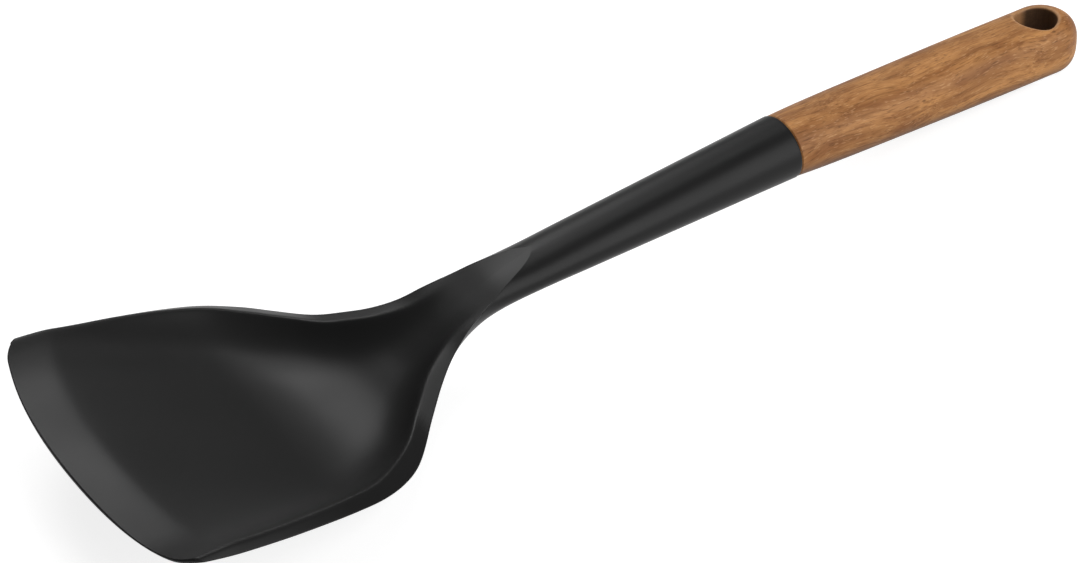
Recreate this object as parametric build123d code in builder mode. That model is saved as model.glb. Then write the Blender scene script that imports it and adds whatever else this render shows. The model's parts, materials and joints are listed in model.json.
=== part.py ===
"""Wok spatula: a silicone blade and neck moulded over a nylon core, with a wood handle."""
import os
from math import cos, pi, radians, sin, sqrt, tan

from build123d import *

# Millimetres. The sizes are set out in the blade's own frame: x runs back from the middle of the
# front edge, y across, z up from the flat underside. The whole spatula is then tipped into its pose
# of rest on a table, where the heel of the blade and the end of the handle both touch.

# Blade
blade_length = 120.0
blade_half_width = 50.0
blade_rise = 42.0
floor_thickness = 3.2
front_edge_thickness = 0.9
front_setback = 1.5
front_sag = 5.8
front_corner_radius = 9.5
front_side_step = 1.0
lip_width = 10.5
rim_softness = 0.8
land_reach = 16.0

# Neck, which ends at the collar against the wood
neck_length = 74.0
neck_slope = 19.4
collar_slope = 17.6
collar_half_width = 9.5
collar_half_height = 8.3
collar_edge_radius = 0.5

# Wood handle
handle_length = 98.0
handle_slope = 15.9
handle_half_width = 9.8
handle_half_height = 8.4
collar_step = 0.2
handle_edge = 0.4
hole_radius = 5.8
hole_to_end = 12.0
hole_edge_radius = 0.8

# Nylon core inside the silicone
skin_on_blade = 0.9
skin_on_neck = 2.0
core_edge_margin = 2.6
core_side_margin = 3.5
core_front_gap = 17.0
core_corner_radius = 8.0
lock_hole_radius = 2.5
lock_hole_pitch = 16.0
lock_hole_gap = 13.0
lock_hole_counts = [5, 5, 3]

# Tang of the core, glued into a blind bore in the wood
tang_length = 48.0
tang_root = 2.0
tang_half_width = 5.2
tang_half_height = 3.4
tang_corner_radius = 1.6
tang_taper_share = 0.82
groove_depth = 0.6
groove_width = 1.6
groove_pitch = 11.0
groove_count = 4
glue_gap = 0.25

overrun = 6.0
roof = 70.0

# Rows along the blade, front to back: place along, half-width, underside, widest level, height over
# the widest level and lean of the section, as shares of the blade's length, half-width and rise and
# of the neck's slope. The last number is the power of the section's rounded oblong: 2 is an ellipse.
outer_shares = [
    (-0.08, 1.204, 0.000, 0.700, 0.200, 0.00, 3.40),
    (0.08, 1.200, 0.000, 0.715, 0.200, 0.00, 3.35),
    (0.175, 1.190, 0.000, 0.738, 0.200, 0.00, 3.25),
    (0.30, 1.150, 0.000, 0.780, 0.195, 0.00, 3.10),
    (0.40, 1.105, 0.001, 0.805, 0.185, 0.00, 3.00),
    (0.48, 1.050, 0.004, 0.805, 0.175, 0.00, 2.90),
    (0.55, 0.950, 0.018, 0.775, 0.165, 0.00, 2.80),
    (0.61, 0.806, 0.054, 0.730, 0.155, 0.00, 2.70),
    (0.66, 0.626, 0.118, 0.698, 0.145, 0.00, 2.60),
    (0.71, 0.464, 0.214, 0.698, 0.135, 0.00, 2.45),
    (0.74, 0.372, 0.288, 0.706, 0.130, 0.00, 2.35),
    (0.78, 0.282, 0.395, 0.726, 0.128, 0.00, 2.20),
    (0.82, 0.220, 0.500, 0.750, 0.125, 0.00, 2.10),
    (0.87, 0.176, 0.615, 0.787, 0.120, 0.20, 2.00),
    (0.92, 0.163, 0.700, 0.830, 0.118, 0.45, 2.00),
    (1.00, 0.164, 0.790, 0.908, 0.117, 0.75, 2.00),
]
outer_place_shares = [-0.06, 0.04, 0.14, 0.24, 0.33, 0.41, 0.48, 0.54, 0.59, 0.635, 0.68, 0.725,
                      0.77, 0.82, 0.87, 0.92, 1.00]
# Rows along the dish: place along, half-width at the rim, floor and rim level, as shares of the
# blade's length, half-width and rise. Then two plain numbers: the power of the curve from the floor
# to the rim, and the slope of the flat edge outside the rim.
dish_shares = [
    (-0.08, 0.980, 0.076, 0.215, 5.0, -0.90),
    (0.08, 0.978, 0.076, 0.218, 5.0, -0.90),
    (0.175, 0.962, 0.076, 0.224, 5.0, -0.84),
    (0.30, 0.932, 0.076, 0.263, 5.0, -0.68),
    (0.40, 0.890, 0.078, 0.292, 5.0, -0.54),
    (0.48, 0.830, 0.086, 0.309, 4.8, -0.40),
    (0.55, 0.716, 0.116, 0.326, 4.4, -0.29),
    (0.61, 0.586, 0.172, 0.352, 4.0, -0.27),
    (0.66, 0.436, 0.243, 0.400, 3.5, -0.24),
    (0.71, 0.300, 0.348, 0.492, 3.0, -0.23),
    (0.74, 0.240, 0.420, 0.546, 2.7, -0.20),
    (0.78, 0.180, 0.536, 0.620, 2.4, -0.06),
    (0.82, 0.148, 0.655, 0.708, 2.1, 0.08),
    (0.87, 0.140, 0.785, 0.812, 2.0, 0.12),
    (0.92, 0.140, 0.900, 0.920, 2.0, 0.10),
    (1.00, 0.140, 1.040, 1.055, 2.0, 0.06),
    (1.12, 0.140, 1.240, 1.255, 2.0, 0.06),
]
dish_place_shares = [-0.06, -0.03, 0.0, 0.03, 0.06, 0.09, 0.12, 0.15, 0.18, 0.22, 0.27, 0.33, 0.40,
                     0.46, 0.52, 0.57, 0.615, 0.66, 0.70, 0.74, 0.78, 0.82, 0.87, 0.93, 1.00, 1.10]
# Points across the dish: shares of the rim's half-width, then shares of the reach beyond the rim
dish_across_shares = [0.15, 0.3, 0.44, 0.56, 0.67, 0.76, 0.83, 0.89, 0.935, 0.965, 0.985, 1.0, 1.015,
                      1.035, 1.06]
land_across_shares = [0.06, 0.16, 0.35, 0.65, 1.0]
# Rows along the neck, from the back of the blade to the collar: place along and lean as a share
neck_shares = [(0.18, 1.0), (0.42, 1.0), (0.68, 1.0), (0.88, 0.97), (1.0, collar_slope / neck_slope)]
# Rows along the handle, from the collar to the middle of its rounded end: place along, and how far
# the section has grown from the collar's width and height to the handle's
handle_shares = [(0.13, 0.20), (0.33, 0.47), (0.55, 0.73), (0.78, 0.93), (1.0, 1.0)]
handle_power = 2.8
# How softly the lip runs into the dish, and where along the blade its skin starts to thicken
lip_blend_share = 0.2
skin_start_share = 0.6
skin_end_share = 0.92


def between(rows, along):
    """Read every column of a table at one place, on a smooth curve through its rows."""
    passed = sum(1 for row in rows if row[0] <= along) - 1
    k = max(0, min(len(rows) - 2, passed))
    start, end = rows[k], rows[k + 1]
    before = rows[k - 1] if k > 0 else start
    after = rows[k + 2] if k + 2 < len(rows) else end
    span = end[0] - start[0]
    t = (along - start[0]) / span
    values = []
    for c in range(1, len(start)):
        rise = end[c] - start[c]
        first = (end[c] - before[c]) * span / (end[0] - before[0])
        last = (after[c] - start[c]) * span / (after[0] - start[0])
        bend = (3 * rise - 2 * first - last) * t**2 + (first + last - 2 * rise) * t**3
        values.append(start[c] + first * t + bend)
    return values


def oblong(half_width, low, high, power, count=32):
    """Points of a rounded oblong about its widest level, from the middle of its underside."""
    points = []
    for i in range(count):
        a = 2 * pi * i / count - pi / 2
        side = 1 if cos(a) > 0 else -1
        height = high if sin(a) > 0 else -low
        points.append((side * half_width * abs(cos(a))**(2 / power), height * abs(sin(a))**(2 / power)))
    return points


# The axis of the neck and handle, in the blade's frame
neck_half_width = outer_shares[-1][1] * blade_half_width
neck_low = (outer_shares[-1][3] - outer_shares[-1][2]) * blade_rise
neck_high = outer_shares[-1][4] * blade_rise
neck_start = (blade_length, blade_rise * outer_shares[-1][3])
collar = (neck_start[0] + neck_length, neck_start[1] + neck_length * tan(radians(neck_slope)))


def on_handle(distance):
    """Point of the handle's axis at a distance behind the collar."""
    slope = radians(handle_slope)
    return (collar[0] + distance * cos(slope), collar[1] + distance * sin(slope))


end_centre = on_handle(handle_length - handle_half_width)


# Pose of rest: the tilt at which the heel and the handle's rounded end stand on one level
def tipped(x, z, tilt):
    """Place of a point of the blade's frame when the spatula is tipped about the front edge."""
    a = radians(tilt)
    return (x * cos(a) + z * sin(a), z * cos(a) - x * sin(a))


def heel_points():
    """Points along the middle of the blade's underside."""
    return [(i * blade_length / 100, between(outer_shares, i / 100)[1] * blade_rise) for i in range(101)]


def end_points():
    """Points of the handle's end, seen from the side."""
    slope = radians(handle_slope)
    points = []
    for u, v in oblong(handle_half_width, handle_half_height, handle_half_height, handle_power, 720):
        points.append((end_centre[0] + u * cos(slope) - v * sin(slope),
                       end_centre[1] + u * sin(slope) + v * cos(slope)))
    return points


def lowest(points, tilt):
    return min(tipped(x, z, tilt)[1] for x, z in points)


rest_tilt = 0.0
tilt_step = 32.0
while tilt_step > 1e-5:
    if lowest(end_points(), rest_tilt + tilt_step) > lowest(heel_points(), rest_tilt + tilt_step):
        rest_tilt += tilt_step
    tilt_step /= 2
front_end = tipped(front_setback, 0, rest_tilt)[0]
back_end = max(tipped(x, z, rest_tilt)[0] for x, z in end_points())
tilt = radians(rest_tilt)
rest = Plane(origin=(-(front_end + back_end) / 2, 0, -lowest(heel_points(), rest_tilt)),
             x_dir=(cos(tilt), 0, -sin(tilt)), z_dir=(sin(tilt), 0, cos(tilt)))


def across(x, z, lean):
    """Plane across the spatula at a point of the blade's frame: its x runs across, its y up."""
    local = Plane(origin=(x, 0, z), x_dir=(0, 1, 0), z_dir=(cos(radians(lean)), 0, sin(radians(lean))))
    return Plane(rest.location * local.location)


def oblong_section(place, half_width, low, high, power):
    """Face of one rounded oblong section."""
    with BuildSketch(place) as section:
        with BuildLine():
            Spline(*oblong(half_width, low, high, power), periodic=True)
        make_face()
    return section.sketch


def body_sections(blade_inset, neck_inset, first_place):
    """Outer sections of blade and neck, front to back, drawn in by an inset that changes along."""
    sections = []
    for along in outer_place_shares:
        if along * blade_length < first_place:
            continue
        half, bottom, widest, top, lean, power = between(outer_shares, along)
        inset = inset_at(along, blade_inset, neck_inset)
        sections.append(oblong_section(across(along * blade_length, widest * blade_rise, lean * neck_slope),
                                       half * blade_half_width - inset,
                                       (widest - bottom) * blade_rise - inset,
                                       top * blade_rise - inset, power))
    for share, lean in neck_shares:
        x = neck_start[0] + share * neck_length
        z = neck_start[1] + share * neck_length * tan(radians(neck_slope))
        sections.append(oblong_section(across(x, z, lean * neck_slope),
                                       neck_half_width + share * (collar_half_width - neck_half_width) - neck_inset,
                                       neck_low + share * (collar_half_height - neck_low) - neck_inset,
                                       neck_high + share * (collar_half_height - neck_high) - neck_inset, 2))
    return sections


def inset_at(along, blade_inset, neck_inset):
    """Inset at a place along the blade: it grows over the last third towards the neck's."""
    grown = max(0, min(1, (along - skin_start_share) / (skin_end_share - skin_start_share)))
    return blade_inset + (neck_inset - blade_inset) * grown**2 * (3 - 2 * grown)


def dish_height(along, y, sink, draw_in):
    """Level of the dish and its flat edge at a distance from the middle."""
    rim, floor, level, power, slope = between(dish_shares, along)
    rim_y = rim * blade_half_width
    rise = (level - floor) * blade_rise
    dish = floor * blade_rise - sink + rise * (y / rim_y)**power
    edge_y = rim_y - draw_in
    edge = floor * blade_rise - sink + rise * (edge_y / rim_y)**power + slope * (y - edge_y)
    gap = dish - edge
    rounded = edge + (gap - sqrt(gap**2 + rim_softness**2)) / 2
    fall = 1 - (along * blade_length - front_setback - front_sag * (y / blade_half_width)**2) / lip_width
    lip_depth = (floor_thickness - front_edge_thickness) * (fall + sqrt(fall**2 + lip_blend_share**2)) / 2
    return rounded - lip_depth


def dish_sections(blade_sink, neck_sink, draw_in):
    """Sections of the block that hollows the blade: the dish below, a flat roof above."""
    sections = []
    for along in dish_place_shares:
        rim_y = between(dish_shares, along)[0] * blade_half_width
        sink = inset_at(along, blade_sink, neck_sink)
        side = [share * rim_y for share in dish_across_shares]
        side += [side[-1] + share * land_reach for share in land_across_shares]
        half = [(y, dish_height(along, y, sink, draw_in)) for y in side]
        middle = (0, dish_height(along, 0, sink, draw_in))
        line = [(-y, z) for y, z in reversed(half)] + [middle] + half
        with BuildSketch(across(along * blade_length, 0, 0)) as section:
            with BuildLine():
                Spline(*line)
                Polyline(line[-1], (line[-1][0], roof), (line[0][0], roof), line[0])
            make_face()
        sections.append(section.sketch)
    return sections


def plan(front_gap, half_width, radius):
    """Plan of the blade from above: bowed front edge, rounded corners and open sides."""
    back = blade_length + neck_length + overrun
    corner = front_gap + front_sag * (half_width / blade_half_width)**2
    with BuildSketch(Plane(rest.location)) as outline:
        with BuildLine():
            ThreePointArc((corner, -half_width), (front_gap, 0), (corner, half_width))
            Polyline((corner, half_width), (back, half_width), (back, -half_width), (corner, -half_width))
        make_face()
        fillet(outline.vertices().group_by(Axis.X)[0], radius)
    return outline.sketch


def tang_outline(distance, growth, mode=Mode.ADD):
    """Rounded oblong of the tapering tang at a distance behind the collar, grown for its bore."""
    share = 1 - (1 - tang_taper_share) * max(0, distance) / tang_length
    RectangleRounded(2 * (tang_half_width * share + growth), 2 * (tang_half_height * share + growth),
                     tang_corner_radius, mode=mode)


def tang_sections(growth):
    """Sections of the tang, or of its bore, from inside the core to its end."""
    sections = []
    for distance in (-tang_root, 0, tang_length + growth):
        with BuildSketch(across(*on_handle(distance), handle_slope)) as section:
            tang_outline(distance, growth)
        sections.append(section.sketch)
    return sections


with BuildPart() as nylon_core:
    loft(body_sections(skin_on_blade, skin_on_neck, core_front_gap - lip_width))
    loft(dish_sections(skin_on_blade, skin_on_neck, core_edge_margin), mode=Mode.SUBTRACT)
    side = blade_half_width + front_side_step - core_side_margin
    extrude(plan(core_front_gap, side, core_corner_radius), amount=roof, both=True, mode=Mode.INTERSECT)
    with BuildSketch(Plane(rest.location)):
        for row, count in enumerate(lock_hole_counts):
            with Locations((core_front_gap + lock_hole_gap + row * lock_hole_pitch, 0)):
                with GridLocations(lock_hole_pitch, lock_hole_pitch, 1, count):
                    Circle(lock_hole_radius)
    extrude(amount=roof, both=True, mode=Mode.SUBTRACT)
    loft(tang_sections(0))
    for groove in range(groove_count):
        distance = (groove + 0.5) * groove_pitch
        with BuildSketch(across(*on_handle(distance), handle_slope)):
            Rectangle(4 * tang_half_width, 4 * tang_half_width)
            tang_outline(distance, -groove_depth, mode=Mode.SUBTRACT)
        extrude(amount=groove_width, mode=Mode.SUBTRACT)
nylon_core.part.label = "nylon_core"

with BuildPart() as tang_adhesive:
    loft(tang_sections(glue_gap))
    split(bisect_by=across(*collar, collar_slope), keep=Keep.TOP)
    add(nylon_core.part, mode=Mode.SUBTRACT)
tang_adhesive.part.label = "tang_adhesive"

with BuildPart() as silicone_skin:
    loft(body_sections(0, 0, -blade_length))
    loft(dish_sections(0, 0, 0), mode=Mode.SUBTRACT)
    side = blade_half_width + front_side_step
    extrude(plan(front_setback, side, front_corner_radius), amount=roof, both=True, mode=Mode.INTERSECT)
    fillet(silicone_skin.faces().sort_by(Axis.X)[-1].outer_wire().edges(), collar_edge_radius)
    add(nylon_core.part, mode=Mode.SUBTRACT)
silicone_skin.part.label = "silicone_skin"

end_place = across(*end_centre, handle_slope)
end_reach = handle_length - handle_half_width
upright = Axis(end_place.origin, -end_place.y_dir)
hole_place = Plane(end_place.offset(handle_half_width - hole_to_end).origin,
                   x_dir=end_place.x_dir, z_dir=end_place.y_dir)


def on_hole_rim(edge):
    """Whether an edge runs round the hanging hole, where the hole meets the surface."""
    if edge.geom_type == GeomType.LINE:
        return False
    spots = [hole_place.to_local_coords(edge @ share) for share in (0, 0.5, 1)]
    return all(abs(sqrt(spot.X**2 + spot.Y**2) - hole_radius) < handle_edge / 4 for spot in spots)


with BuildPart() as wood_handle:
    start_low = collar_half_height - collar_step
    outline = [oblong_section(across(*collar, collar_slope), collar_half_width - collar_step,
                              start_low, start_low, 2)]
    for place, share in handle_shares:
        half = collar_half_width + share * (handle_half_width - collar_half_width)
        high = collar_half_height + share * (handle_half_height - collar_half_height)
        power = 2 + share * (handle_power - 2)
        outline.append(oblong_section(across(*on_handle(place * end_reach), handle_slope),
                                      half, high, high, power))
    loft(outline)
    with BuildSketch(end_place):
        with BuildLine():
            Spline(*oblong(handle_half_width, handle_half_height, handle_half_height, handle_power),
                   periodic=True)
        make_face()
        Rectangle(2 * handle_half_width, 4 * handle_half_height, align=(Align.MIN, Align.CENTER),
                  mode=Mode.INTERSECT)
    revolve(axis=upright, revolution_arc=180)
    chamfer(wood_handle.faces().sort_by(Axis.X)[0].outer_wire().edges(), handle_edge)
    with BuildSketch(hole_place):
        Circle(hole_radius)
    extrude(amount=2 * handle_half_height, both=True, mode=Mode.SUBTRACT)
    fillet(wood_handle.edges().filter_by(on_hole_rim), hole_edge_radius)
    add(tang_adhesive.part, mode=Mode.SUBTRACT)
    add(nylon_core.part, mode=Mode.SUBTRACT)
wood_handle.part.label = "wood_handle"

os.makedirs("parts", exist_ok=True)
export_step(silicone_skin.part, "parts/silicone_skin.step")
export_step(nylon_core.part, "parts/nylon_core.step")
export_step(tang_adhesive.part, "parts/tang_adhesive.step")
export_step(wood_handle.part, "parts/wood_handle.step")
print("pose", rest_tilt, rest.origin.X, rest.origin.Z)
print("hanging hole centre", hole_place.origin, "axis", hole_place.z_dir)
for piece in (silicone_skin, nylon_core, tang_adhesive, wood_handle):
    print(piece.part.label, round(piece.part.volume), "mm3, valid", piece.part.is_valid)
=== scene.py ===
# %% [markdown]
# # A wok spatula, dressed for its picture
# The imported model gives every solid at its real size. This script keeps those places, models the
# silicone body again as one smooth mesh of even quads, gives each piece its finish, and stands the
# spatula in a plain pale studio. Lengths are written in millimetres in the blade's own frame and
# turned to metres in the model's frame in one place.

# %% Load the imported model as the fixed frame
import json
import math

import bmesh
import bpy
import numpy as np
from mathutils import Euler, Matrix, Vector


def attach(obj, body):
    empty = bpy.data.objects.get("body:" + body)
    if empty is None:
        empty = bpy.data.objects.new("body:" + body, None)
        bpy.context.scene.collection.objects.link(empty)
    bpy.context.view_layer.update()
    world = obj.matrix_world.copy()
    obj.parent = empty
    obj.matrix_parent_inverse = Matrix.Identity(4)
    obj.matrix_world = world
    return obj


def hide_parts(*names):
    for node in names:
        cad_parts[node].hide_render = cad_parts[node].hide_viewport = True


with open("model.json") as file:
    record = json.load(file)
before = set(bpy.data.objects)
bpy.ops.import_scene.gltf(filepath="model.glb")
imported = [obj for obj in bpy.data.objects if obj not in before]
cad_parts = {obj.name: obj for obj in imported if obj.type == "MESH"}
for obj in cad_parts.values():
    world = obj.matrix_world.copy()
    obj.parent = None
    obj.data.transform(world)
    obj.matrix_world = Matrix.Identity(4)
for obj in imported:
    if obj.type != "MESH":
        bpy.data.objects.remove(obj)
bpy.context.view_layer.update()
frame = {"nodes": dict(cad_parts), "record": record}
MM = 0.001

# %% [markdown]
# Colours are written as sRGB hex values, as a paint shop names them, and Blender's shaders want
# linear light, so one function turns them. Materials are node trees, and one small function adds a
# node, sets its values and links its inputs, which keeps each material readable.

# %% Colour and node helpers


def linear(code):
    """A colour like "8a5a32" as linear red, green, blue and alpha."""
    parts = [int(code[i:i + 2], 16) / 255 for i in (0, 2, 4)]
    return [p / 12.92 if p <= 0.04045 else ((p + 0.055) / 1.055)**2.4 for p in parts] + [1]


def add(tree, kind, inputs=None, **settings):
    """Adds a node. Inputs maps a socket's name or number to a value, or to a (node, output) pair."""
    made = tree.nodes.new(kind)
    for name, value in settings.items():
        setattr(made, name, value)
    for name, value in (inputs or {}).items():
        if isinstance(value, tuple) and isinstance(value[0], bpy.types.Node):
            tree.links.new(value[0].outputs[value[1]], made.inputs[name])
        else:
            made.inputs[name].default_value = value
    return made


def new_material(name):
    """An empty node material and its tree."""
    material = bpy.data.materials.new(name)
    material.use_nodes = True
    material.node_tree.nodes.clear()
    return material, material.node_tree


def dress(piece, material):
    """Gives a piece one material in place of what it had."""
    piece.data.materials.clear()
    piece.data.materials.append(material)


print("mid grey 808080 is", round(linear("808080")[0], 3), "in linear light")

# %% [markdown]
# The camera stands to the left of the blade and looks down along the handle. Its place, the way it
# faces and its small roll were worked out from the picture's perspective. The picture is 1080 by
# 563 pixels, and the lens is set so that the whole spatula just fills its width.

# %% Camera
camera_place = Vector((-261.75, -450.17, 404.38)) * MM
camera_bearing = 27.978
camera_dip = 37.654
camera_roll = -8.523
camera_lens = 86.667

lens = bpy.data.cameras.new("camera")
lens.lens = camera_lens
lens.sensor_width = 36
lens.clip_start = 0.01
camera = bpy.data.objects.new("camera", lens)
bpy.context.scene.collection.objects.link(camera)
facing = Euler((math.radians(90 - camera_dip), 0, -math.radians(camera_bearing)), "XYZ").to_matrix()
rolled = facing @ Euler((0, 0, math.radians(camera_roll)), "XYZ").to_matrix()
camera.matrix_world = rolled.to_4x4()
camera.location = camera_place
bpy.context.scene.camera = camera
print("camera distance in mm", round(camera_place.length / MM))

# %% [markdown]
# The blade and neck are one moulding. Its shape is set by two tables: the outside, as rounded oblong
# sections from the front edge to the collar, and the dish that hollows it, with a flat edge that
# slopes away outside the dish's rim. Rows are read on a smooth curve, so a few of them are enough.
# The places are shares of the blade's length, half-width and height.

# %% Sizes of the blade, neck and handle in millimetres
blade_length = 120.0
blade_half_width = 50.0
blade_rise = 42.0
floor_thickness = 3.2
front_edge_thickness = 0.9
front_setback = 1.5
front_sag = 5.8
front_corner_radius = 9.5
front_side_step = 1.0
lip_width = 10.5
lip_blend_share = 0.2
rim_softness = 0.8
neck_length = 74.0
neck_slope = 19.4
collar_slope = 17.6
collar_half_width = 9.5
collar_half_height = 8.3
collar_edge_radius = 0.5
handle_slope = 15.9
handle_length = 98.0
hole_to_end = 12.0
side_edge_thickness = 0.3
front_edge_push = 0.2

# Place along, half-width, underside, widest level, height over it, lean share, power of the oblong
outer_shares = [
    (-0.08, 1.204, 0.000, 0.700, 0.200, 0.00, 3.40),
    (0.08, 1.200, 0.000, 0.715, 0.200, 0.00, 3.35),
    (0.175, 1.190, 0.000, 0.738, 0.200, 0.00, 3.25),
    (0.30, 1.150, 0.000, 0.780, 0.195, 0.00, 3.10),
    (0.40, 1.105, 0.001, 0.805, 0.185, 0.00, 3.00),
    (0.48, 1.050, 0.004, 0.805, 0.175, 0.00, 2.90),
    (0.55, 0.950, 0.018, 0.775, 0.165, 0.00, 2.80),
    (0.61, 0.806, 0.054, 0.730, 0.155, 0.00, 2.70),
    (0.66, 0.626, 0.118, 0.698, 0.145, 0.00, 2.60),
    (0.71, 0.464, 0.214, 0.698, 0.135, 0.00, 2.45),
    (0.74, 0.372, 0.288, 0.706, 0.130, 0.00, 2.35),
    (0.78, 0.282, 0.395, 0.726, 0.128, 0.00, 2.20),
    (0.82, 0.220, 0.500, 0.750, 0.125, 0.00, 2.10),
    (0.87, 0.176, 0.615, 0.787, 0.120, 0.20, 2.00),
    (0.92, 0.163, 0.700, 0.830, 0.118, 0.45, 2.00),
    (1.00, 0.164, 0.790, 0.908, 0.117, 0.75, 2.00),
]
outer_place_shares = [-0.06, 0.04, 0.14, 0.24, 0.33, 0.41, 0.48, 0.54, 0.59, 0.635, 0.68, 0.725,
                      0.77, 0.82, 0.87, 0.92, 1.00]
# Place along, rim half-width, floor, rim level, power of the dish's curve, slope of its flat edge
dish_shares = [
    (-0.08, 0.980, 0.076, 0.215, 5.0, -0.90),
    (0.08, 0.978, 0.076, 0.218, 5.0, -0.90),
    (0.175, 0.962, 0.076, 0.224, 5.0, -0.84),
    (0.30, 0.932, 0.076, 0.263, 5.0, -0.68),
    (0.40, 0.890, 0.078, 0.292, 5.0, -0.54),
    (0.48, 0.830, 0.086, 0.309, 4.8, -0.40),
    (0.55, 0.716, 0.116, 0.326, 4.4, -0.29),
    (0.61, 0.586, 0.172, 0.352, 4.0, -0.27),
    (0.66, 0.436, 0.243, 0.400, 3.5, -0.24),
    (0.71, 0.300, 0.348, 0.492, 3.0, -0.23),
    (0.74, 0.240, 0.420, 0.546, 2.7, -0.20),
    (0.78, 0.180, 0.536, 0.620, 2.4, -0.06),
    (0.82, 0.148, 0.655, 0.708, 2.1, 0.08),
    (0.87, 0.140, 0.785, 0.812, 2.0, 0.12),
    (0.92, 0.140, 0.900, 0.920, 2.0, 0.10),
    (1.00, 0.140, 1.040, 1.055, 2.0, 0.06),
    (1.12, 0.140, 1.240, 1.255, 2.0, 0.06),
]
# Place along the neck, and its lean as a share of the neck's slope
neck_shares = [(0.18, 1.0), (0.42, 1.0), (0.68, 1.0), (0.88, 0.97), (1.0, collar_slope / neck_slope)]


def read(rows, place):
    """Every column of a table at many places, on a smooth curve through its rows."""
    rows = np.array(rows, float)
    place = np.asarray(place, float)
    k = np.clip(np.searchsorted(rows[:, 0], place, side="right") - 1, 0, len(rows) - 2)
    start, end = rows[k], rows[k + 1]
    before, after = rows[np.maximum(k - 1, 0)], rows[np.minimum(k + 2, len(rows) - 1)]
    span = (end - start)[..., :1]
    t = (place[..., None] - start[..., :1]) / span
    rise = end - start
    first = (end - before) * span / (end - before)[..., :1]
    last = (after - start) * span / (after - start)[..., :1]
    value = start + first * t + (3 * rise - 2 * first - last) * t**2 + (first + last - 2 * rise) * t**3
    return np.moveaxis(value[..., 1:], -1, 0)


print("widest half of the outside in mm", round(float(read(outer_shares, 0.0)[0]) * blade_half_width, 2))

# %% [markdown]
# The model stands in its pose of rest, tipped back on its heel, while the tables are written with
# the blade's underside level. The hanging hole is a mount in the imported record, with its place and
# axis, so the tip and the shift between the two frames are read from it and nothing is fitted.

# %% From the blade's frame to the model's frame
hole = next(m for m in frame["record"]["mounts"] if m["name"] == "hanging_hole")
tilt = math.radians(handle_slope) + math.atan2(hole["axis"][0], hole["axis"][2])
neck_start = (blade_length, blade_rise * outer_shares[-1][3])
collar = (blade_length + neck_length, neck_start[1] + neck_length * math.tan(math.radians(neck_slope)))
hole_reach = handle_length - hole_to_end
hole_centre = (collar[0] + hole_reach * math.cos(math.radians(handle_slope)),
               collar[1] + hole_reach * math.sin(math.radians(handle_slope)))


def tipped(x, z):
    """A point of the blade's frame turned into the pose of rest, before its shift."""
    return x * math.cos(tilt) + z * math.sin(tilt), z * math.cos(tilt) - x * math.sin(tilt)


turned_hole = tipped(*hole_centre)
shift_x = hole["pos_m"][0] / MM - turned_hole[0]
shift_z = hole["pos_m"][2] / MM - turned_hole[1]


def at_rest(points):
    """Rows of x, y, z in the blade's frame and millimetres, as places in the model in metres."""
    x, z = tipped(points[..., 0], points[..., 2])
    return np.stack([x + shift_x, points[..., 1], z + shift_z], -1) * MM


print("tilt in degrees", round(math.degrees(tilt), 3))
print("shift in mm", round(shift_x, 2), round(shift_z, 2))

# %% [markdown]
# Each ring round the moulding is two strips that meet at the crease: the dish side and the outside.
# Two functions give their heights at any place, and a third finds the crease, where they meet.

# %% The outside and the dish side of the moulding
lean_steps = 8
halvings = 40
body_rows = []
for along in outer_place_shares:
    half, bottom, widest, top, lean, power = read(outer_shares, along)
    body_rows.append((along * blade_length, widest * blade_rise, half * blade_half_width,
                      (widest - bottom) * blade_rise, top * blade_rise, lean * neck_slope, power))
neck_end = body_rows[-1]
for share, lean in neck_shares:
    body_rows.append((blade_length + share * neck_length,
                      neck_start[1] + share * neck_length * math.tan(math.radians(neck_slope)),
                      neck_end[2] + share * (collar_half_width - neck_end[2]),
                      neck_end[3] + share * (collar_half_height - neck_end[3]),
                      neck_end[4] + share * (collar_half_height - neck_end[4]), lean * neck_slope, 2.0))


def outside(x, a):
    """Distance from the middle and height over the widest level at angle a of the rounded oblong."""
    level, half, low, high, lean, power = read(body_rows, x)
    reach = np.where(np.sin(a) > 0, high, low)
    y = half * np.abs(np.cos(a))**(2 / power)
    return y, np.sign(np.sin(a)) * reach * np.abs(np.sin(a))**(2 / power)


def angle_at(x, y, side):
    """Angle of the oblong at a distance from the middle, on the under side (-1) or the top (1)."""
    level, half, low, high, lean, power = read(body_rows, x)
    return side * np.arccos(np.clip(np.abs(y) / half, 0, 1)**(power / 2))


def dish_level(x, y):
    """Height of the dish and its flat edge above the underside's level."""
    rim, floor, level, power, slope = read(dish_shares, x / blade_length)
    y = np.abs(y)
    rim_y = rim * blade_half_width
    dish = floor * blade_rise + (level - floor) * blade_rise * (y / rim_y)**power
    edge = level * blade_rise + slope * (y - rim_y)
    gap = dish - edge
    rounded = edge + (gap - np.sqrt(gap**2 + rim_softness**2)) / 2
    fall = 1 - (x - front_setback - front_sag * (y / blade_half_width)**2) / lip_width
    thinned = (fall + np.sqrt(fall**2 + lip_blend_share**2)) / 2
    return rounded - (floor_thickness - front_edge_thickness) * thinned


def dish_side(x, y):
    """Height of the dish side over the widest level, measured in the leaning ring at x."""
    level, half, low, high, lean, power = read(body_rows, x)
    slope = np.radians(lean)
    v = np.zeros(np.broadcast(x, y).shape)
    for _ in range(lean_steps):
        v = (dish_level(x - v * np.sin(slope), y) - level) / np.cos(slope)
    return v


def crease_angle(x, thickness):
    """Angle of the outside at which it comes within a thickness of the dish side."""
    below, above = -math.pi / 2, math.pi / 2
    for _ in range(halvings):
        middle = (below + above) / 2
        y, v = outside(x, middle)
        if dish_side(x, y) - v > thickness:
            below = middle
        else:
            above = middle
    return below


print("sections along the body", len(body_rows), "floor of the dish in mm",
      round(float(dish_level(blade_length * 0.3, 0.0)), 2))

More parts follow.
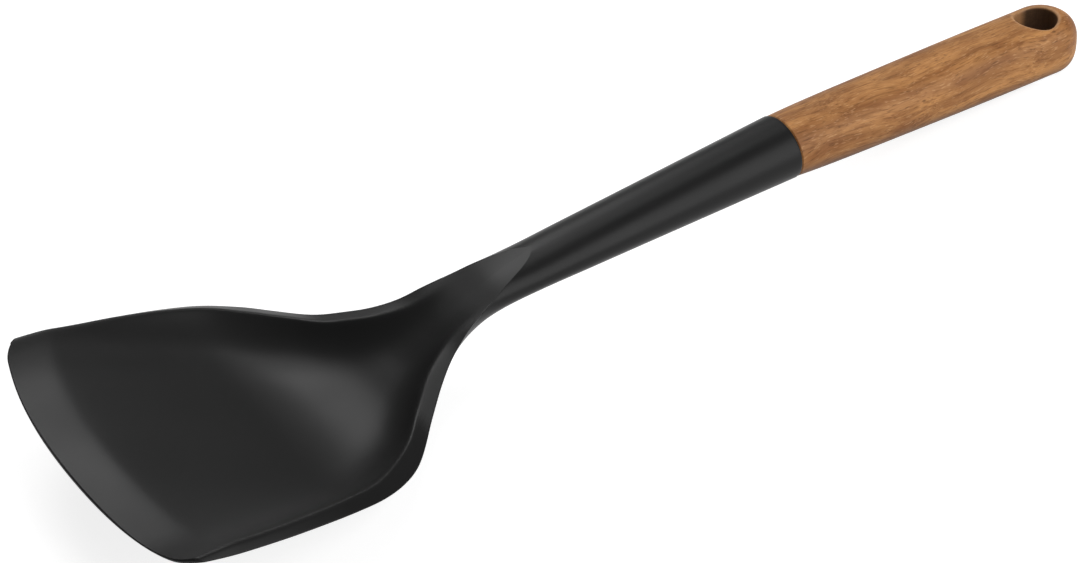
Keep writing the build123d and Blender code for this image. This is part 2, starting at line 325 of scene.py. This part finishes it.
# %% [markdown]
# In plan the front edge is a shallow bow with a round corner at each end. The bow, the corner's arc
# and the straight side are one curve here, split at the middle of the corner: the front half gives
# the first ring its shape, and the side half gives every ring its end.

# %% The front edge and its corners in plan
side_y = blade_half_width + front_side_step
touch_steps = 20


def bow(y):
    """How far back the bowed front edge lies at a distance from the middle."""
    return front_setback + front_sag * (y / blade_half_width)**2


def corner_centre():
    """Centre of the corner's arc, which touches the side and the bowed front edge."""
    y = side_y - front_corner_radius
    touch = y
    for _ in range(touch_steps):
        slope = 2 * front_sag * touch / blade_half_width**2
        touch = y + front_corner_radius * slope / math.hypot(1, slope)
    return bow(touch) + front_corner_radius / math.hypot(1, slope), y, touch


corner_x, corner_y, bow_end = corner_centre()
corner_middle = front_corner_radius * math.sqrt(0.5)
split_x, split_y = corner_x - corner_middle, corner_y + corner_middle


def front_curve(y):
    """Place along of the front edge, round to the middle of the corner."""
    arc = corner_x - np.sqrt(np.maximum(front_corner_radius**2 - np.maximum(y - corner_y, 0)**2, 0))
    return np.where(y < bow_end, bow(y), arc)


def corner_side(x):
    """Half-width that the corner's arc leaves, from its middle to the side."""
    reach = max(0.0, front_corner_radius**2 - max(0.0, corner_x - x)**2)
    return corner_y + math.sqrt(reach)


print("corner's arc has its centre at", round(corner_x, 2), round(corner_y, 2), "mm")

# %% [markdown]
# A ring is 148 points: the dish side from one crease to the other, a point that rounds the crease,
# the outside back again, and a point at the first crease. The points crowd where the surface turns,
# at the rim and at the crease. Rings crowd too, at the front edge and where the lip runs out.

# %% One ring of the moulding
points_across = 36
rim_reach = 1.6
land_least = 1.2
strip_half_width = 1.3
bow_fade = 45.0
spread = np.linspace(0, 1, points_across + 1)
# Shares of a strip's points at the middle, the rim's inside and outside, near the crease, and at it
knot_shares = [0, 0.62, 0.84, 0.965, 1]
knee_share = 0.9
outer_knee_share = 0.35
crease_share = 0.06
# The underside's points go over from even across to even round between these places
even_start = 20.0
even_length = 40.0
# The crease closes towards the neck
closed_at = 118.0
closing_length = 60.0
least_edge_share = 0.12
crease_push = 0.35
push_share = 0.45


def edge_thickness(x):
    """Thickness left at the crease, which closes towards the neck."""
    return side_edge_thickness * min(1.0, max(least_edge_share, (closed_at - x) / closing_length))


def ring(travel):
    """Dish side and outside of the ring at a travel behind the front edge, and which way is out."""
    x_middle = front_setback + travel
    x_end = x_middle + (split_x - front_setback) * max(0.0, 1 - travel / bow_fade)**2
    a_end = crease_angle(x_end, edge_thickness(x_end))
    y_end = float(outside(x_end, a_end)[0])
    outward = (0.0, 1.0)
    if x_end < corner_x and corner_side(x_end) < y_end:
        y_end = corner_side(x_end)
        a_end = float(angle_at(x_end, y_end, -1))
        outward = ((x_end - corner_x) / front_corner_radius, (y_end - corner_y) / front_corner_radius)
    if a_end > 0:
        strip_angle = float(angle_at(x_end, strip_half_width, 1))
        if a_end > strip_angle:
            a_end, y_end = strip_angle, strip_half_width
    rim_y = float(read(dish_shares, x_end / blade_length)[0]) * blade_half_width
    knee = min(rim_y - rim_reach, y_end * knee_share)
    outer_knee = min(rim_y + land_least, y_end - outer_knee_share * (y_end - knee))
    knots = [0, knee, outer_knee, y_end - crease_share * (y_end - knee), y_end]
    y = np.interp(spread, knot_shares, knots)
    bowed = front_curve(y / y_end * split_y) - front_setback
    x = x_middle + (x_end - x_middle) * bowed / (split_x - front_setback)
    level, half, low, high, lean, power = read(body_rows, x)
    top = high * (1 - np.clip(y / half, 0, 1)**power)**(1 / power)
    upper = np.minimum(dish_side(x, y), top)
    a_even = -math.pi / 2 + spread * (a_end + math.pi / 2)
    share = min(1.0, max(0.0, (x_end - even_start) / even_length))
    a_under = (1 - share) * np.where(spread > 0, angle_at(x, y, -1), -math.pi / 2) + share * a_even
    if share > 0 and a_end > 0:
        a_under = a_even
    a_under[-1] = a_end
    y_under, lower = outside(x, a_under)
    return x, y, upper, y_under, lower, outward


def place(x, y, v):
    """Points of a leaning ring in the blade's frame."""
    level, half, low, high, lean, power = read(body_rows, x)
    slope = np.radians(lean)
    return np.stack([x - v * np.sin(slope), y, level + v * np.cos(slope)], -1)


def ring_points(travel):
    """The closed ring as points in the blade's frame."""
    x, y, upper, y_under, lower, outward = ring(travel)
    top, under = place(x, y, upper), place(x, y_under, lower)
    gap = float(upper[-1] - lower[-1])
    push = min(crease_push, push_share * gap)
    edge = (top[-1] + under[-1]) / 2 + np.array([outward[0] * push, outward[1] * push, 0])
    return loop(top, under, edge)


mirror = np.array([1, -1, 1])


def loop(top, under, edge):
    """One closed row of points, from the far crease over the dish side and back underneath."""
    over = [top[::-1] * mirror, top[1:], edge[None]]
    back = [under[::-1], under[1:] * mirror, (edge * mirror)[None]]
    row = np.concatenate(over + back)
    return np.concatenate([row, row[:1]])


def front_row():
    """The row along the middle of the front edge, where dish side and outside close on each other."""
    x, y, upper, y_under, lower, outward = ring(front_edge_push)
    top, under = place(x, y, upper), place(x, y_under, lower)
    slope = np.where(y < bow_end, 2 * front_sag * y / blade_half_width**2, 0)
    arc = np.clip((y - corner_y) / front_corner_radius, 0, 0.999)
    slope = np.where(y < bow_end, slope, arc / np.sqrt(1 - arc**2))
    push = np.minimum(front_edge_push, push_share * (upper - lower))
    normal = np.stack([-1 / np.hypot(1, slope), slope / np.hypot(1, slope), 0 * y], -1)
    middle = (top + under) / 2 + normal * push[:, None]
    return loop(middle, middle, middle[-1])


print("points in a row along the front edge", len(front_row()) - 1)

# %% [markdown]
# The rings become a mesh by laying them on a flat grid: bmesh makes the grid, each of its points
# moves to its place on the rings, and merging the points that meet closes the seam and the front
# edge. A loft by hand gives the same quads, but the grid keeps the script short.

# %% Silicone blade and neck
front_step, blade_step, neck_step = 0.6, 1.0, 1.6
front_span = 16.0
last_step = 1.4
merge_distance = 0.002
collar_turns = (22.5, 45, 67.5, 90)
collar_face_shares = (0.7, 0.0)

neck_reach = blade_length + neck_length - front_setback
travels = [front_edge_push, 0.35, 0.55, 0.8]
while travels[-1] < blade_length:
    travels.append(travels[-1] + (front_step if travels[-1] < front_span else blade_step))
while travels[-1] < neck_reach - 2 * neck_step:
    travels.append(travels[-1] + neck_step)
travels += [neck_reach - last_step, neck_reach - collar_edge_radius]
rows = [front_row()] + [ring_points(t) for t in travels]


def collar_rows():
    """Rows that round the collar's edge and close its end against the wood."""
    x, y, upper, y_under, lower, outward = ring(neck_reach)
    face = loop(place(x, y, upper), place(x, y_under, lower), place(x, y_under, lower)[-1])
    centre = place(np.array([blade_length + neck_length]), np.zeros(1), np.zeros(1))
    slope = math.radians(collar_slope)
    back = np.array([math.cos(slope), 0, math.sin(slope)])
    made = []
    for turn in collar_turns:
        drawn_in = collar_edge_radius * (1 - math.cos(math.radians(turn)))
        step_back = collar_edge_radius * (1 - math.sin(math.radians(turn)))
        share = 1 - drawn_in / ((collar_half_width + collar_half_height) / 2)
        made.append(centre + (face - centre) * share - back * step_back)
    for share in collar_face_shares:
        made.append(centre + (face - centre) * share)
    return made


rows += collar_rows()
rows = at_rest(np.array(rows))
print("rings", rows.shape[0], "points in a ring", rows.shape[1] - 1)

grid = bmesh.new()
bmesh.ops.create_grid(grid, x_segments=rows.shape[1] - 1, y_segments=rows.shape[0] - 1, size=1)
for vertex in grid.verts:
    column = round((vertex.co.x + 1) / 2 * (rows.shape[1] - 1))
    row = round((vertex.co.y + 1) / 2 * (rows.shape[0] - 1))
    vertex.co = rows[row, column]
bmesh.ops.remove_doubles(grid, verts=grid.verts, dist=merge_distance * MM)
bmesh.ops.recalc_face_normals(grid, faces=grid.faces)
for face in grid.faces:
    face.smooth = True
body_mesh = bpy.data.meshes.new("silicone_body")
grid.to_mesh(body_mesh)
print("silicone faces", len(grid.faces), "open edges", sum(1 for e in grid.edges if not e.is_manifold))
grid.free()
silicone_body = bpy.data.objects.new("silicone_body", body_mesh)
bpy.context.scene.collection.objects.link(silicone_body)
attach(silicone_body, "root")
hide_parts("silicone_skin")

# %% [markdown]
# Black silicone is filled with carbon, so it is nearly black inside, and a spark-eroded mould leaves
# a fine matt skin: a soft, wide highlight, no mirror image, and a faint grain. The real grain is about
# 0.1 mm, too fine to show in the picture, so it is drawn at 0.45 mm. Flow in the mould leaves the
# sheen a little uneven over some centimetres.

# %% Moulded black silicone


def moulded_silicone():
    material, tree = new_material("moulded_black_silicone")
    grain_size = 0.45
    flow_size = 30.0
    where = add(tree, "ShaderNodeTexCoord")
    grain = add(tree, "ShaderNodeTexNoise", {"Vector": (where, "Object"), "Scale": 1 / (grain_size * MM),
                                             "Detail": 2.0, "Roughness": 0.6})
    flow = add(tree, "ShaderNodeTexNoise", {"Vector": (where, "Object"), "Scale": 1 / (flow_size * MM),
                                            "Detail": 2.0})
    sheen = add(tree, "ShaderNodeMapRange", {"Value": (flow, 0), "From Min": 0.35, "From Max": 0.65,
                                             "To Min": 0.37, "To Max": 0.42})
    tone = add(tree, "ShaderNodeMix", {0: (flow, 0), 6: linear("161616"), 7: linear("191919")},
               data_type="RGBA")
    bump = add(tree, "ShaderNodeBump", {"Height": (grain, 0), "Strength": 0.25, "Distance": 0.03 * MM})
    shader = add(tree, "ShaderNodeBsdfPrincipled", {"Base Color": (tone, 2), "Roughness": (sheen, 0),
                                                    "IOR": 1.41, "Specular IOR Level": 0.24,
                                                    "Normal": (bump, 0)})
    add(tree, "ShaderNodeOutputMaterial", {"Surface": (shader, 0)})
    return material


dress(silicone_body, moulded_silicone())
print("silicone shader nodes", len(silicone_body.active_material.node_tree.nodes))

# %% [markdown]
# The handle is acacia, sanded and oiled. Its heartwood is a warm brown with darker bands that run
# along the handle and drift sideways, fine dark pores a few millimetres long with paler flecks beside
# them, and a silky sheen. Real pores are about 0.15 mm wide, too fine to show in the picture, so they
# are drawn 0.34 mm wide, and the fibres and flecks are as coarse.
#
# The solid's shape is right, so it stays, and only its finish is made here. The pattern reads
# Object coordinates turned to the handle's slope, so the grain runs through the wood as it does in
# a real stick, and shows its end round the hanging hole. Every pattern is a noise stretched along
# the stick, and lays one stain over the colour under it.

# %% Patterns and stains for wood


def figure(tree, grain, width, length, detail, roughness=0.55):
    """Noise of a width across the grain and a length along it, in millimetres."""
    drawn = add(tree, "ShaderNodeVectorMath", {0: (grain, 0), 1: (width / length, 1, 1)},
                operation="MULTIPLY")
    return add(tree, "ShaderNodeTexNoise", {"Vector": (drawn, 0), "Scale": 1 / (width * MM),
                                            "Detail": detail, "Roughness": roughness})


def cover(tree, pattern, start, end, most):
    """How strongly a pattern, a node or one of its outputs, shows between two of its levels."""
    source = pattern if isinstance(pattern, tuple) else (pattern, 0)
    return add(tree, "ShaderNodeMapRange", {"Value": source, "From Min": start, "From Max": end,
                                            "To Min": 0.0, "To Max": most})


def stain(tree, under, amount, colour):
    """Lays a colour over another by an amount, and gives the output that holds the new colour."""
    laid = add(tree, "ShaderNodeMix", {0: (amount, 0), 6: under, 7: linear(colour)}, data_type="RGBA")
    return laid, 2


def ramp(tree, pattern, low, low_colour, high, high_colour):
    """A colour that runs between two as a pattern rises from one level to another."""
    made = add(tree, "ShaderNodeValToRGB", {"Fac": (pattern, 0)})
    for stop, level, colour in zip(made.color_ramp.elements, (low, high), (low_colour, high_colour)):
        stop.position = level
        stop.color = linear(colour)
    return made, 0


stick_slope = math.radians(handle_slope) - tilt
print("the stick lies", round(math.degrees(stick_slope), 2), "degrees off the model's length")

# %% [markdown]
# The figure is built from the widest pattern to the finest: the growth bands, then streaks and
# blotches, then fibres, flecks and pores. A slow drift bends them all, because no stick is sawn
# quite along its grain.

# %% The figure of the heartwood
drift_size = 22
drift_reach = 7


def heartwood(tree, stick):
    """The colour of the stick, with its fibres and pores for the sheen and the bump."""
    drift = add(tree, "ShaderNodeTexNoise", {"Vector": (stick, 0), "Scale": 1 / (drift_size * MM),
                                             "Detail": 1.0})
    bend = add(tree, "ShaderNodeVectorMath", {0: (drift, "Color"), "Scale": drift_reach * MM},
               operation="SCALE")
    grain = add(tree, "ShaderNodeVectorMath", {0: (stick, 0), 1: (bend, 0)})
    bands = figure(tree, grain, 6.0, 40, 2.0)
    streaks = figure(tree, grain, 2.0, 30, 2.0, 0.6)
    blotches = figure(tree, grain, 2.6, 9, 3.0, 0.6)
    fibres = figure(tree, grain, 0.5, 7, 2.0)
    pores = figure(tree, grain, 0.34, 3.4, 1.0)
    flecks = figure(tree, grain, 0.40, 2.4, 1.0)
    tone = ramp(tree, bands, 0.36, "916036", 0.64, "bf8851")
    for pattern, begin, full, most, colour in (
            (streaks, 0.50, 0.66, 0.62, "7d4d28"),
            (blotches, 0.50, 0.70, 0.50, "885228"),
            (fibres, 0.50, 0.68, 0.50, "704422"),
            (flecks, 0.60, 0.69, 0.32, "d6a877"),
            (pores, 0.62, 0.72, 0.60, "5c3719")):
        tone = stain(tree, tone, cover(tree, pattern, begin, full, most), colour)
    return tone, fibres, pores


print("bands drift by about", drift_reach, "mm over", drift_size, "mm")

# %% [markdown]
# Some places carry painted light and shade. One flank and the underside are darkened as painted
# shade. The bore of the hanging hole is darkened as painted shade, almost black beyond a tan patch on
# its side towards the blade, which stands for its lit side, and its rounded rim is painted paler as
# painted light. These tones were matched to the picture. They are placed by the surface's direction
# and by the distance from the hole's axis, in the handle's own frame.

# %% Painted shade on the flank, the underside and in the hanging hole, painted light on its rim
bore_edge = (6.0, 5.75)
# Painted light: a paler ring on the hole's rounded rim, out to this distance from its axis.
rim_light_edge = (7.0, 6.4)
# Painted shade in the bore: it turns almost black past this band across the hole, away from the tan side
# towards the blade, which stands for the bore's lit side.
tan_edge = (-3.4, -1.6)
bore_shade_towards = (0.83, -0.55, 0)


def painted_flank_and_underside_shade(tree, where, tone):
    """Darkens the colour where the surface faces +Y or down, as painted shade."""
    facing = add(tree, "ShaderNodeSeparateXYZ", {"Vector": (where, "Normal")})
    beneath = add(tree, "ShaderNodeMath", {0: (facing, "Z"), 1: -1.0}, operation="MULTIPLY")
    # Painted shade: the flank facing +Y and the underside are darkened by the way they face.
    tone = stain(tree, tone, cover(tree, (facing, "Y"), 0.58, 0.90, 0.50), "6a4f3c")
    return stain(tree, tone, cover(tree, beneath, 0.10, 0.66, 0.65), "422c1b")


def hanging_hole(tree, where, tone):
    """Paints light on the rim and shade in the bore, almost black beyond its side towards the blade."""
    turned = Euler((0, stick_slope, 0)).to_matrix() @ Vector(hole["pos_m"])
    middle = add(tree, "ShaderNodeMapping", {"Vector": (where, "Object"),
                                             "Location": (-turned.x, -turned.y, -turned.z),
                                             "Rotation": (0, stick_slope, 0)})
    flat = add(tree, "ShaderNodeVectorMath", {0: (middle, 0), 1: (1, 1, 0)}, operation="MULTIPLY")
    out = add(tree, "ShaderNodeVectorMath", {0: (flat, 0)}, operation="LENGTH")
    beyond = add(tree, "ShaderNodeVectorMath", {0: (flat, 0), 1: bore_shade_towards},
                 operation="DOT_PRODUCT")
    # Painted shade: the bore is darkened brown, and almost black beyond its lit side towards the blade.
    inside = cover(tree, (out, "Value"), bore_edge[0] * MM, bore_edge[1] * MM, 1.0)
    shaded = cover(tree, (beyond, "Value"), tan_edge[0] * MM, tan_edge[1] * MM, 0.97)
    bore_shade = add(tree, "ShaderNodeMath", {0: (inside, 0), 1: (shaded, 0)}, operation="MULTIPLY")
    # Painted light: the rounded rim is drawn paler.
    highlit = cover(tree, (out, "Value"), rim_light_edge[0] * MM, rim_light_edge[1] * MM, 0.35)
    tone = stain(tree, tone, highlit, "d0a67c")
    tone = stain(tree, tone, cover(tree, inside, 0.0, 1.0, 0.35), "6b4526")
    return stain(tree, tone, bore_shade, "140c0a")


print("the sanded rim reaches", rim_light_edge[0], "mm from the hole's axis")

# %% Oiled acacia


def oiled_acacia():
    material, tree = new_material("oiled_acacia")
    where = add(tree, "ShaderNodeTexCoord")
    stick = add(tree, "ShaderNodeMapping", {"Vector": (where, "Object"), "Rotation": (0, stick_slope, 0)})
    tone, fibres, pores = heartwood(tree, stick)
    tone = hanging_hole(tree, where, painted_flank_and_underside_shade(tree, where, tone))
    sheen = add(tree, "ShaderNodeMapRange", {"Value": (fibres, 0), "From Min": 0.3, "From Max": 0.7,
                                             "To Min": 0.50, "To Max": 0.60})
    bump = add(tree, "ShaderNodeBump", {"Height": (pores, 0), "Strength": 0.3, "Distance": -0.06 * MM})
    shader = add(tree, "ShaderNodeBsdfPrincipled", {"Base Color": tone, "Roughness": (sheen, 0),
                                                    "IOR": 1.47, "Specular IOR Level": 0.3,
                                                    "Normal": (bump, 0)})
    add(tree, "ShaderNodeOutputMaterial", {"Surface": (shader, 0)})
    return material


dress(frame["nodes"]["wood_handle"], oiled_acacia())
print("wood shader nodes", len(frame["nodes"]["wood_handle"].active_material.node_tree.nodes))

# %% [markdown]
# Inside the moulding is a core of glass-filled nylon, whose tang is glued into the wood with epoxy.
# Nothing of them shows, but they keep a finish of their own in case someone takes the spatula apart:
# dark grey nylon speckled with glass, and pale amber glue, a little mottled and glossier. Their
# specks are under 0.1 mm in fact, and are drawn at 0.6 to 0.8 mm so that they show.

# %% Nylon core and epoxy


def speckled(name, dark, light, speck, roughness, ior):
    """An opaque plastic or glue with specks of a given size in millimetres."""
    material, tree = new_material(name)
    where = add(tree, "ShaderNodeTexCoord")
    specks = add(tree, "ShaderNodeTexNoise", {"Vector": (where, "Object"), "Scale": 1 / (speck * MM),
                                              "Detail": 3.0})
    tone = add(tree, "ShaderNodeMix", {0: (specks, 0), 6: linear(dark), 7: linear(light)},
               data_type="RGBA")
    bump = add(tree, "ShaderNodeBump", {"Height": (specks, 0), "Strength": 0.2, "Distance": 0.03 * MM})
    shader = add(tree, "ShaderNodeBsdfPrincipled", {"Base Color": (tone, 2), "Roughness": roughness,
                                                    "IOR": ior, "Normal": (bump, 0)})
    add(tree, "ShaderNodeOutputMaterial", {"Surface": (shader, 0)})
    return material


dress(frame["nodes"]["nylon_core"], speckled("glass_filled_nylon", "262628", "343436", 0.6, 0.5, 1.53))
dress(frame["nodes"]["tang_adhesive"], speckled("cured_epoxy", "b9a479", "cdbb93", 0.8, 0.25, 1.55))
inner = [frame["nodes"][name] for name in ("nylon_core", "tang_adhesive")]
print("inner pieces are finished as", [piece.active_material.name for piece in inner])

# %% [markdown]
# The studio is a plain pale floor under a dim world, and three soft boxes. The floor glows a little to
# the camera and in reflections, so the background is white without more light on the object, and it
# keeps the object's shadow. The world is white along the horizon, where it closes the background,
# and falls to a faint even fill a few degrees above it. The box behind the spatula draws the light
# bands on the lip and the back of the dish, the wide one above draws the line along the neck's
# ridge, and the one in front fills the near side.

# %% Floor, world and lamps
floor_size = 6.0
floor_grey = 0.45
floor_glow = 0.80
bright_horizon, dim_sky, horizon_height = 1.0, 0.18, 0.07

bpy.ops.mesh.primitive_plane_add(size=floor_size)
floor = bpy.context.object
floor.name = "floor"


def pale_floor():
    material, tree = new_material("pale_floor")
    path = add(tree, "ShaderNodeLightPath")
    matt = add(tree, "ShaderNodeBsdfDiffuse", {"Color": (floor_grey, floor_grey, floor_grey, 1)})
    glow = add(tree, "ShaderNodeEmission", {"Color": (1, 1, 1, 1), "Strength": floor_glow})
    dark = add(tree, "ShaderNodeEmission", {"Color": (0, 0, 0, 1), "Strength": 0.0})
    seen = add(tree, "ShaderNodeMath", {0: (path, "Is Camera Ray"), 1: (path, "Is Glossy Ray")},
               operation="MAXIMUM")
    seen = add(tree, "ShaderNodeMath", {0: (seen, 0), 1: (path, "Is Transmission Ray")},
               operation="MAXIMUM")
    lift = add(tree, "ShaderNodeMixShader", {0: (seen, 0), 1: (dark, 0), 2: (glow, 0)})
    both = add(tree, "ShaderNodeAddShader", {0: (matt, 0), 1: (lift, 0)})
    add(tree, "ShaderNodeOutputMaterial", {"Surface": (both, 0)})
    return material


dress(floor, pale_floor())

world = bpy.data.worlds.new("studio")
bpy.context.scene.world = world
world.use_nodes = True
sky = world.node_tree
sky.nodes.clear()
toward = add(sky, "ShaderNodeTexCoord")
level = add(sky, "ShaderNodeSeparateXYZ", {"Vector": (toward, "Generated")})
strength = add(sky, "ShaderNodeMapRange",
               {"Value": (level, "Z"), "From Min": 0.0, "From Max": horizon_height,
                "To Min": bright_horizon, "To Max": dim_sky}, interpolation_type="SMOOTHSTEP")
white = add(sky, "ShaderNodeBackground", {"Color": (1, 1, 1, 1), "Strength": (strength, 0)})
add(sky, "ShaderNodeOutputWorld", {"Surface": (white, 0)})


def soft_box(name, bearing, height, distance, width, depth, power):
    """A rectangular lamp that faces the spatula from a bearing and a height in degrees."""
    lamp = bpy.data.lights.new(name, "AREA")
    lamp.shape = "RECTANGLE"
    lamp.size, lamp.size_y = width, depth
    lamp.energy = power
    box = bpy.data.objects.new(name, lamp)
    turn, rise = math.radians(bearing), math.radians(height)
    away = Vector((math.sin(turn) * math.cos(rise), math.cos(turn) * math.cos(rise), math.sin(rise)))
    box.location = away * distance
    box.rotation_euler = away.to_track_quat("Z", "Y").to_euler()
    bpy.context.scene.collection.objects.link(box)
    return box


soft_box("soft_box_behind", 13, 43, 1.2, 0.52, 0.48, 4.5)
soft_box("soft_box_above", 22, 66, 1.2, 0.97, 0.26, 3.2)
soft_box("soft_box_front", 154, 29, 1.3, 1.0, 1.3, 14.5)
bpy.context.scene.view_settings.view_transform = "Standard"
